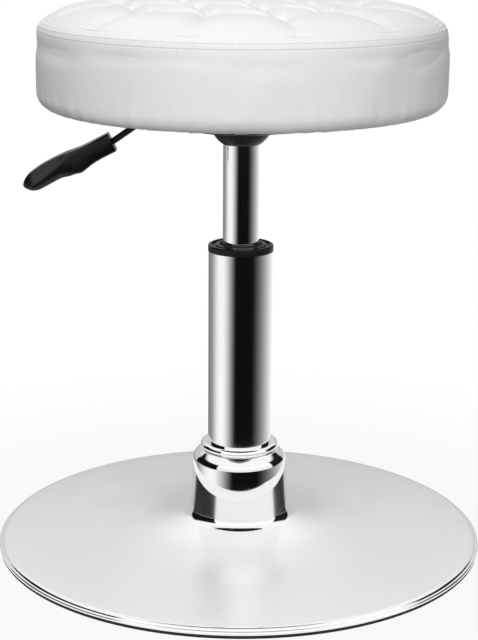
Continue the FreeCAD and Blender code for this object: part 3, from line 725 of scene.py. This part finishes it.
def leather_grain(tree, place):
    """The pressed grain of synthetic leather: small rounded pebbles with fine creases between them."""
    warp = add(tree, "ShaderNodeTexNoise", {"Vector": place, "Scale": 260.0, "Detail": 2.0})
    warped = add(
        tree,
        "ShaderNodeMix",
        {0: 0.0016, 4: place, 5: warp.outputs["Color"]},
        data_type="VECTOR",
    )
    pebbles = add(
        tree,
        "ShaderNodeTexVoronoi",
        {"Vector": warped.outputs[1], "Scale": 820.0},
        feature="DISTANCE_TO_EDGE",
    )
    creases = spread(tree, pebbles.outputs["Distance"], 0.0, 0.22, interpolation_type="SMOOTHSTEP")
    return calc(tree, "MULTIPLY_ADD", noise(tree, place, 1900.0, 3.0), 0.35, creases)


white_leather, tree, shader, place = finish("white_leather")
grain = leather_grain(tree, place)
handled = noise(tree, place, 9.0, 5.0)
pebble_tone = between(tree, handled, (0.845, 0.845, 0.85), (0.885, 0.885, 0.885))
# The grain's fine creases are painted darker than the pebbles between them: painted shade in the creases.
crease_shaded_colour = add(tree, "ShaderNodeMix", {0: grain, 6: (0.80, 0.80, 0.805, 1.0), 7: pebble_tone}, data_type="RGBA")
tree.links.new(crease_shaded_colour.outputs[2], shader.inputs["Base Color"])
glossed(tree, shader, handled, 0.40, 0.52)
bumped(tree, shader, grain, 0.00006)
side_band = shown(
    "side_band", turned_mesh("side_band", band_profile, band_segments, band_shift), white_leather
)
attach(side_band, "seat")
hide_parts("seat_side_band")


# Staples
# Wire staples shot through the hem into the board, all round, each with its crown lying flat on the
# leather along the edge.
def vector_calc(tree, operation, *values, **named):
    """What a vector math node makes of some values."""
    inputs = {**dict(enumerate(values)), **named}
    return add(tree, "ShaderNodeVectorMath", inputs, operation=operation).outputs[0]


def ring_tree(name):
    """Short arched lengths of wire set round a circle on a slanting surface, with a little jitter."""
    tree = bpy.data.node_groups.new(name, "GeometryNodeTree")
    floats = ("Radius", "Height", "Lean", "Length", "Arch", "Thickness", "Jitter", "Turn")
    kinds = dict.fromkeys(floats, "NodeSocketFloat")
    kinds.update(Count="NodeSocketInt", Seed="NodeSocketInt", Material="NodeSocketMaterial")
    for label, kind in kinds.items():
        tree.interface.new_socket(label, in_out="INPUT", socket_type=kind)
    tree.interface.new_socket("Geometry", in_out="OUTPUT", socket_type="NodeSocketGeometry")
    given = tree.nodes.new("NodeGroupInput").outputs
    circle = add(tree, "GeometryNodeMeshCircle", {"Vertices": given["Count"], "Radius": given["Radius"]})
    outward = vector_calc(tree, "NORMALIZE", add(tree, "GeometryNodeInputPosition").outputs[0])
    tangent = vector_calc(tree, "CROSS_PRODUCT", (0.0, 0.0, 1.0), outward)
    sideways = vector_calc(tree, "SCALE", outward, Scale=calc(tree, "COSINE", given["Lean"]))
    upward = add(tree, "ShaderNodeCombineXYZ", {"Z": calc(tree, "SINE", given["Lean"])})
    normal = vector_calc(tree, "ADD", sideways, upward.outputs[0])
    wander = add(
        tree,
        "FunctionNodeRandomValue",
        {"Seed": given["Seed"], "Min": (-1.0, -1.0, -1.0), "Max": (1.0, 1.0, 1.0)},
        data_type="FLOAT_VECTOR",
    )
    strayed = vector_calc(tree, "SCALE", wander.outputs[0], Scale=given["Jitter"])
    heading = vector_calc(tree, "ADD", tangent, strayed)
    along = add(tree, "FunctionNodeAlignRotationToVector", {"Vector": heading}, axis="X")
    turned = add(
        tree,
        "FunctionNodeAlignRotationToVector",
        {"Rotation": along.outputs[0], "Vector": normal},
        axis="Z",
        pivot_axis="X",
    )
    start = add(tree, "ShaderNodeCombineXYZ", {"X": calc(tree, "MULTIPLY", given["Length"], -0.5)})
    middle = add(tree, "ShaderNodeCombineXYZ", {"Z": given["Arch"]})
    end = add(tree, "ShaderNodeCombineXYZ", {"X": calc(tree, "MULTIPLY", given["Length"], 0.5)})
    line = add(
        tree,
        "GeometryNodeCurveQuadraticBezier",
        {
            "Resolution": 5,
            "Start": start.outputs[0],
            "Middle": middle.outputs[0],
            "End": end.outputs[0],
        },
    )
    thick = calc(tree, "MULTIPLY", given["Thickness"], 0.5)
    section = add(tree, "GeometryNodeCurvePrimitiveCircle", {"Resolution": 6, "Radius": thick})
    wire = add(
        tree,
        "GeometryNodeCurveToMesh",
        {"Curve": line.outputs[0], "Profile Curve": section.outputs[0], "Fill Caps": True},
    )
    placed = add(
        tree,
        "GeometryNodeInstanceOnPoints",
        {"Points": circle.outputs[0], "Instance": wire.outputs[0], "Rotation": turned.outputs[0]},
    )
    lift = add(tree, "ShaderNodeCombineXYZ", {"Z": given["Height"]})
    spin = add(tree, "ShaderNodeCombineXYZ", {"Z": given["Turn"]})
    raised = add(
        tree,
        "GeometryNodeTransform",
        {"Geometry": placed.outputs[0], "Translation": lift.outputs[0], "Rotation": spin.outputs[0]},
    )
    real = add(tree, "GeometryNodeRealizeInstances", {"Geometry": raised.outputs[0]})
    smooth = add(tree, "GeometryNodeSetShadeSmooth", {"Geometry": real.outputs[0]})
    coated = add(
        tree, "GeometryNodeSetMaterial", {"Geometry": smooth.outputs[0], "Material": given["Material"]}
    )
    add(tree, "NodeGroupOutput", {"Geometry": coated.outputs[0]})
    return tree


def grown(name, tree, material, **values):
    """The plain mesh that a tree grows with these values, as an object of its own."""
    seed_mesh = bpy.data.meshes.new(name + "_seed")
    seed = bpy.data.objects.new(name + "_seed", seed_mesh)
    bpy.context.scene.collection.objects.link(seed)
    modifier = seed.modifiers.new("grown", "NODES")
    modifier.node_group = tree
    values["Material"] = material
    for item in tree.interface.items_tree:
        if item.in_out == "INPUT":
            modifier[item.identifier] = values[item.name]
    depsgraph = bpy.context.evaluated_depsgraph_get()
    mesh = bpy.data.meshes.new_from_object(seed.evaluated_get(depsgraph), depsgraph=depsgraph)
    mesh.name = name
    seed.modifiers.remove(modifier)
    bpy.data.objects.remove(seed)
    made = bpy.data.objects.new(name, mesh)
    bpy.context.scene.collection.objects.link(made)
    return made


wire_ring = ring_tree("wire_ring")
staple_wire = 0.0008
hem_staples = grown(
    "hem_staples",
    wire_ring,
    zinc_plate,
    Count=28,
    Radius=hem_inner + 0.0074,
    Height=hem_height - staple_wire / 2,
    Lean=-math.pi / 2,
    Length=0.010,
    Arch=0.0,
    Thickness=staple_wire,
    Jitter=0.06,
    Turn=0.0,
    Seed=3,
)
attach(hem_staples, "seat")
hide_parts("staples")


# Tufted top
# The top panel: white synthetic leather over a layer of padding, sewn through to the foam at points
# in a triangular pattern, with pleats from point to point and outwards to a plain margin.
margin_radius = seam_radius - 0.0059
margin_height = seam_height + 0.008
shoulder_radius = 0.080
shoulder_width = 0.0325
crown_radius = 1.325
tuft_pitch = 0.050
tuft_turn = math.radians(-15)
tuft_depth = 0.0080
tuft_width = 0.0085
pleat_depth = 0.0046
pleat_width = 0.0062
margin_pleat_depth = 0.0016
puff_lift = 0.0014
steps_per_pitch = 20
panel_padding = 0.0095
outer_steps = 20


def crown_height(radius):
    """The height of the smooth crown under the puffs, at a distance from the axis."""
    lean = math.asin((margin_radius - shoulder_width) / crown_radius)
    start_radius = margin_radius - shoulder_width
    centre_radius = start_radius - shoulder_radius * math.sin(lean)
    end_sine = (margin_radius - centre_radius) / shoulder_radius
    centre_height = margin_height - shoulder_radius * math.sqrt(1 - end_sine**2)
    if radius > start_radius:
        return centre_height + math.sqrt(shoulder_radius**2 - (radius - centre_radius) ** 2)
    start_height = centre_height + shoulder_radius * math.cos(lean)
    top = start_height + crown_radius - math.sqrt(crown_radius**2 - start_radius**2)
    return top - crown_radius + math.sqrt(crown_radius**2 - radius**2)


def lattice_place(column, row, pitch):
    """A point of the triangular pattern, turned as the panel is."""
    x = pitch * (column + row / 2)
    y = pitch * row * math.sqrt(3) / 2
    turned_x = x * math.cos(tuft_turn) - y * math.sin(tuft_turn)
    turned_y = x * math.sin(tuft_turn) + y * math.cos(tuft_turn)
    return Vector((turned_x, turned_y))


tufts = []
for row in range(-2, 3):
    for column in range(-2, 3):
        if abs(row + column) <= 2:
            tufts.append(lattice_place(column, row, tuft_pitch))
pleats = []
for index, tuft in enumerate(tufts):
    for other in tufts[index + 1 :]:
        if (tuft - other).length < tuft_pitch * 1.2:
            pleats.append((tuft, other, pleat_depth, pleat_depth))
    if tuft.length > tuft_pitch * 1.2:
        pleats.append((tuft, tuft.normalized() * margin_radius, pleat_depth, margin_pleat_depth))


def distance_to_pleat(point, start, end):
    """How far a point is from a pleat, and how far along the pleat its nearest point lies."""
    run = end - start
    share = min(1.0, max(0.0, (point - start).dot(run) / run.length_squared))
    return (point - start - run * share).length, share


def puffed_height(x, y):
    """The height of the tufted top: the crown, raised between the pleats and drawn in at them."""
    point = Vector((x, y))
    radius = point.length
    sunk = 0.0
    for start, end, start_depth, end_depth in pleats:
        off, share = distance_to_pleat(point, start, end)
        depth = start_depth + (end_depth - start_depth) * share
        sunk = max(sunk, (depth + puff_lift) * math.exp(-off / pleat_width))
    for tuft in tufts:
        off = (point - tuft).length
        sunk += (tuft_depth - pleat_depth) * math.exp(-((off / tuft_width) ** 2))
    edge = smooth_step(margin_radius, margin_radius - 0.016, radius)
    return crown_height(radius) + puff_lift * edge - sunk * max(edge, 0.35)


def tufted_mesh():
    """The panel as a closed mesh whose edges run along the pleats."""
    made = bmesh.new()
    reach = 2 * steps_per_pitch
    step = tuft_pitch / steps_per_pitch
    inner = {}
    for row in range(-reach, reach + 1):
        for column in range(-reach, reach + 1):
            if abs(row + column) <= reach:
                x, y = lattice_place(column, row, step)
                inner[column, row] = made.verts.new((x, y, puffed_height(x, y)))
    for column, row in inner:
        right = inner.get((column + 1, row))
        above = inner.get((column, row + 1))
        before = inner.get((column - 1, row + 1))
        here = inner[column, row]
        if right and above:
            made.faces.new((here, right, above))
        if above and before:
            made.faces.new((here, above, before))
    corners = [(reach, 0), (0, reach), (-reach, reach), (-reach, 0), (0, -reach), (reach, -reach)]
    rim = []
    for (column, row), (next_column, next_row) in zip(corners, corners[1:] + corners[:1]):
        for along in range(reach):
            share_column = column + (next_column - column) * along // reach
            share_row = row + (next_row - row) * along // reach
            rim.append(inner[share_column, share_row])
    loops = [rim]
    for ring in range(1, outer_steps + 1):
        share = ring / outer_steps
        loop = []
        for vert in rim:
            flat = Vector(vert.co.xy)
            x, y = flat.lerp(flat.normalized() * margin_radius, share)
            loop.append(made.verts.new((x, y, puffed_height(x, y))))
        loops.append(loop)
    edge_line = [(0.0016, -0.0008), (0.0033, -0.0025), (0.0046, -0.0043), (0.0054, -0.0058)]
    edge_line += [(0.0058, -0.0070), (0.0060, -0.0076), (0.0059, -0.0080)]
    under = [(seam_radius - leather, seam_height)]
    for share in (0.9, 0.7, 0.45, 0.2):
        under.append((margin_radius * share, crown_height(margin_radius * share) - panel_padding))
    strip = [(margin_radius + out, margin_height + rise) for out, rise in edge_line] + under
    for radius, height in strip:
        loop = []
        for vert in rim:
            x, y = Vector(vert.co.xy).normalized() * radius
            loop.append(made.verts.new((x, y, height)))
        loops.append(loop)
    count = len(rim)
    for near, far in zip(loops, loops[1:]):
        for index in range(count):
            after = (index + 1) % count
            made.faces.new((near[index], far[index], far[after], near[after]))
    centre = made.verts.new((0.0, 0.0, crown_height(0) - panel_padding))
    for index in range(count):
        made.faces.new((loops[-1][index], centre, loops[-1][(index + 1) % count]))
    bmesh.ops.recalc_face_normals(made, faces=made.faces)
    mesh = bpy.data.meshes.new("tufted_top")
    made.to_mesh(mesh)
    made.free()
    return mesh


tufted_top = shown("tufted_top", tufted_mesh(), white_leather)


def settle(piece, held, pressure, frames, limit):
    """Lets a cover settle as cloth blown up from inside, and moves no point further than a limit."""
    rest = [vertex.co.copy() for vertex in piece.data.vertices]
    group = piece.vertex_groups.new(name="held")
    for index, weight in enumerate(held):
        group.add([index], weight, "REPLACE")
    modifier = piece.modifiers.new("settling", "CLOTH")
    cloth = modifier.settings
    cloth.quality = 4
    cloth.mass = 0.05
    cloth.tension_stiffness = 0.8
    cloth.compression_stiffness = 0.8
    cloth.shear_stiffness = 0.4
    cloth.bending_stiffness = 0.02
    cloth.use_pressure = True
    cloth.uniform_pressure_force = pressure
    cloth.vertex_group_mass = "held"
    cloth.effector_weights.gravity = 0.0
    modifier.collision_settings.use_collision = False
    modifier.point_cache.frame_start = 1
    modifier.point_cache.frame_end = frames
    scene = bpy.context.scene
    for moment in range(1, frames + 1):
        scene.frame_set(moment)
    settled = piece.evaluated_get(bpy.context.evaluated_depsgraph_get()).to_mesh()
    moved = [vertex.co.copy() for vertex in settled.vertices]
    piece.modifiers.remove(modifier)
    piece.vertex_groups.remove(group)
    scene.frame_set(1)
    for vertex, old, new in zip(piece.data.vertices, rest, moved):
        step = new - old
        if step.length > limit:
            step *= limit / step.length
        vertex.co = old + step


def held_weight(place):
    """How firmly a point of the top is held: wholly at the tufts and the edge, less along the pleats."""
    point = Vector(place.xy)
    underside = crown_height(point.length) - panel_padding / 2 - 0.004
    if point.length > margin_radius - 0.002 or place.z < underside:
        return 1.0
    weight = 0.0
    for tuft in tufts:
        weight = max(weight, 1.0 - (point - tuft).length / 0.007)
    for start, end, start_depth, end_depth in pleats:
        weight = max(weight, 0.92 - distance_to_pleat(point, start, end)[0] / 0.004)
    return max(0.0, weight)


grips = [held_weight(vertex.co) for vertex in tufted_top.data.vertices]
settle(tufted_top, grips, pressure=4.0, frames=20, limit=0.0022)
rounded_off(tufted_top, 1)
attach(tufted_top, "seat")
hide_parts("seat_top_panel")


# Foam pad
# A thick disc of cut foam with a soft open-celled skin. It fills the room between the board, the side
# band and the padding of the top, so its outline is worked out from theirs.
foam_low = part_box("seat_foam")[0]
foam_inset = 0.0018
foam_foot = board_high.z + 0.0001
foam_profile = [(0.0, foam_foot), (board_high.x, foam_foot), (board_high.x + 0.0004, foam_low.z)]
foam_profile += [(radius - foam_inset, height) for radius, height in reversed(outside[::4])]
for share in (0.9, 0.7, 0.45, 0.2, 0.0):
    radius = margin_radius * share
    foam_profile.append((radius, crown_height(radius) - panel_padding - 0.0006))
foam_cells, tree, shader, place = finish("foam_cells")
cells = add(tree, "ShaderNodeTexVoronoi", {"Vector": place, "Scale": 700.0})
painted(tree, shader, noise(tree, place, 30.0, 4.0), (0.80, 0.74, 0.55), (0.90, 0.86, 0.70))
glossed(tree, shader, cells.outputs["Distance"], 0.85, 0.98)
bumped(tree, shader, cells.outputs["Distance"], 0.0005)
foam_pad = shown("foam_pad", turned_mesh("foam_pad", foam_profile, 96, closed=False), foam_cells)
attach(foam_pad, "seat")
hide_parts("seat_foam")


# Seam stitching
# Two rows of white thread hold the top panel to the band: one close above the seam, and a finer one
# along the edge of the puffs. Each stitch arches a little. Between the stitches of the lower row sit
# small grey dots, painted shade that stands for the needle holes.
thread, tree, shader, place = finish("white_thread")
twist = noise(tree, place, 2600.0)
painted(tree, shader, twist, (0.84, 0.84, 0.84), (0.94, 0.94, 0.94))
glossed(tree, shader, twist, 0.55, 0.75)
bumped(tree, shader, twist, 0.00015)
# Needle holes: small grey dots laid on the leather, painted shade of the holes, not holes cut in it.
needle_hole_shade, tree, shader, place = finish("needle_hole_shade")
painted(tree, shader, noise(tree, place, 900.0), (0.62, 0.62, 0.625), (0.74, 0.74, 0.745))
shader.inputs["Roughness"].default_value = 0.9
stitch_count = 316
stitch_row = {"Radius": margin_radius + 0.0041, "Height": margin_height - 0.0039, "Lean": math.radians(40)}
edge_row = {"Radius": margin_radius - 0.0004, "Height": margin_height + 0.0001, "Lean": math.radians(60)}
rows = [
    ("seam_stitches", thread, stitch_row, 0.0, 0.0016, 0.0005, 0.0010),
    ("seam_hole_shades", needle_hole_shade, stitch_row, 0.5, 0.0004, 0.0, 0.0008),
    ("edge_stitches", thread, edge_row, 0.0, 0.0019, 0.0004, 0.0006),
]
for name, material, row, offset, length, arch, thickness in rows:
    sewn = grown(
        name,
        wire_ring,
        material,
        **row,
        Count=stitch_count,
        Length=length,
        Arch=arch,
        Thickness=thickness,
        Jitter=0.10,
        Turn=2 * math.pi * offset / stitch_count,
        Seed=11,
    )
    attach(sewn, "seat")


# Studio floor
# A plain white floor that takes the stool's shadow near the base and fades to white further off. Bright
# metal mirrors it near the base only, and from below it is clear.
floor_half = 9.0
floor_white = 0.25
floor_glow = 0.93
clear_floor = (0.22, 0.5)
mirrored_floor = 0.262
floor_mesh = bpy.data.meshes.new("studio_floor")
floor_corners = []
for x, y in [(-1, -1), (1, -1), (1, 1), (-1, 1)]:
    floor_corners.append((x * floor_half, y * floor_half, -0.0003))
floor_mesh.from_pydata(floor_corners, [], [(0, 1, 2, 3)])
floor_finish, tree, shader, place = finish("studio_white")
painted(tree, shader, noise(tree, place, 3.0), (floor_white - 0.01,) * 3, (floor_white + 0.01,) * 3)
shader.inputs["Roughness"].default_value = 0.9
shader.inputs["Specular IOR Level"].default_value = 0.0
glow = add(tree, "ShaderNodeEmission", {"Color": (1.0, 1.0, 1.0, 1.0), "Strength": 1.0})
rays = add(tree, "ShaderNodeLightPath").outputs
seen = calc(tree, "ADD", rays["Is Camera Ray"], rays["Is Glossy Ray"])
seen = calc(tree, "ADD", seen, rays["Is Transmission Ray"], use_clamp=True)
reach = add(tree, "ShaderNodeVectorMath", {0: place}, operation="LENGTH").outputs["Value"]
fade = spread(tree, reach, *clear_floor, floor_glow, 1.0, interpolation_type="SMOOTHSTEP")
share = calc(tree, "MULTIPLY", seen, fade)
both = add(tree, "ShaderNodeMixShader", {0: share, 1: shader.outputs[0], 2: glow.outputs[0]})
from_below = add(tree, "ShaderNodeNewGeometry").outputs["Backfacing"]
clear = add(tree, "ShaderNodeBsdfTransparent")
past = calc(tree, "MULTIPLY", calc(tree, "GREATER_THAN", reach, mirrored_floor), rays["Is Glossy Ray"])
unseen = calc(tree, "MAXIMUM", past, from_below)
both = add(tree, "ShaderNodeMixShader", {0: unseen, 1: both.outputs[0], 2: clear.outputs[0]})
tree.links.new(both.outputs[0], tree.nodes["Material Output"].inputs["Surface"])
floor = shown("studio_floor", floor_mesh, floor_finish)


# Studio light
# Two large soft lamps, and a white surround that lights matt surfaces evenly. Bright metal mirrors the
# surround's sides: dark to the left and right, and below the horizon dark in front and bright beside.
def lamp(name, place, target, size, power):
    """A soft rectangular lamp, turned to its target and not mirrored in metal."""
    data = bpy.data.lights.new(name, "AREA")
    data.shape = "RECTANGLE"
    data.size, data.size_y = size
    data.energy = power
    made = bpy.data.objects.new(name, data)
    made.location = place
    made.rotation_euler = (Vector(target) - Vector(place)).to_track_quat("-Z", "Y").to_euler()
    made.visible_glossy = False
    bpy.context.scene.collection.objects.link(made)


lamp("front_softbox", (0.0, -2.3, 1.5), (0.0, 0.0, 0.3), (1.2, 1.0), 46.0)
lamp("top_softbox", (-0.5, 0.7, 2.0), (0.0, 0.0, 0.4), (1.0, 1.0), 13.0)

world = bpy.data.worlds.new("studio_surround")
world.use_nodes = True
tree = world.node_tree
surround = tree.nodes["Background"]
surround.inputs["Color"].default_value = (1.0, 1.0, 1.0, 1.0)
surround.inputs["Strength"].default_value = 0.32
rays = add(tree, "ShaderNodeLightPath").outputs
direction = add(tree, "ShaderNodeTexCoord").outputs["Generated"]
heading = add(tree, "ShaderNodeSeparateXYZ", {"Vector": direction}).outputs
rising = spread(tree, heading["Z"], 0.22, 0.62, 0.58, 1.0, interpolation_type="SMOOTHSTEP")
turned = calc(tree, "ARCTAN2", heading["X"], calc(tree, "MULTIPLY", heading["Y"], -1.0))
turned = calc(tree, "ADD", calc(tree, "DIVIDE", turned, 2 * math.pi), 0.5)


def round_tones(tones):
    """The surround's tone by heading, from (degrees to the right of the front, tone) pairs."""
    ramp = add(tree, "ShaderNodeValToRGB", {"Fac": turned})
    ramp.color_ramp.interpolation = "EASE"
    stops = ramp.color_ramp.elements
    stops.remove(stops[1])
    for index, (degrees, tone) in enumerate(tones):
        share = degrees / 360 + 0.5
        stop = stops[0] if index == 0 else stops.new(share)
        stop.position = share
        stop.color = (tone, tone, tone, 1.0)
    return ramp.outputs["Color"]


low_tones = [(-174, 0.15), (-130, 0.28), (-76, 1.0), (-70, 1.0), (-14, 0.005), (40, 0.005), (174, 1.0)]
side_tones = [(-180, 1.0), (-130, 1.0), (-126, 0.01), (-58, 0.01), (-54, 1.6), (86, 1.6), (90, 0.02)]
side_tones += [(134, 0.02), (138, 1.0), (180, 1.0)]
over_sides = spread(tree, heading["Z"], 0.52, 0.62)
over_horizon = spread(tree, heading["Z"], -0.14, -0.10)
sides = add(tree, "ShaderNodeMix", {0: over_sides, 2: round_tones(side_tones), 3: 1.0})
high = calc(tree, "MULTIPLY", sides.outputs[0], rising)
tones = add(tree, "ShaderNodeMix", {0: over_horizon, 2: round_tones(low_tones), 3: high})
plain_white = (1.0, 1.0, 1.0, 1.0)
mirrored = add(tree, "ShaderNodeBackground", {"Color": plain_white, "Strength": tones.outputs[0]})
white = add(tree, "ShaderNodeBackground", {"Color": plain_white, "Strength": 1.0})
lights = {0: rays["Is Glossy Ray"], 1: surround.outputs[0], 2: mirrored.outputs[0]}
in_metal = add(tree, "ShaderNodeMixShader", lights)
straight = calc(tree, "ADD", rays["Is Camera Ray"], rays["Is Transmission Ray"], use_clamp=True)
all_rays = add(tree, "ShaderNodeMixShader", {0: straight, 1: in_metal.outputs[0], 2: white.outputs[0]})
tree.links.new(all_rays.outputs[0], tree.nodes["World Output"].inputs["Surface"])
bpy.context.scene.world = world
bpy.context.scene.view_settings.view_transform = "Standard"


# Camera
# A long lens in front of the stool and a little above the seat, looking down. The photograph is rolled
# by a hair and stands slightly off centre, and so does the camera.
camera_data = bpy.data.cameras.new("camera")
camera_data.lens = 94.92
camera_data.sensor_width = 36.0
camera = bpy.data.objects.new("camera", camera_data)
camera.location = (0.0, -1.27925, 0.52224)
camera_pan = Matrix.Rotation(math.radians(0.045), 3, "Z")
camera_dip = Matrix.Rotation(math.radians(90 - 14.93), 3, "X")
camera_roll = Matrix.Rotation(math.radians(0.4), 3, "Z")
camera.rotation_euler = (camera_pan @ camera_dip @ camera_roll).to_euler()
bpy.context.scene.collection.objects.link(camera)
bpy.context.scene.camera = camera
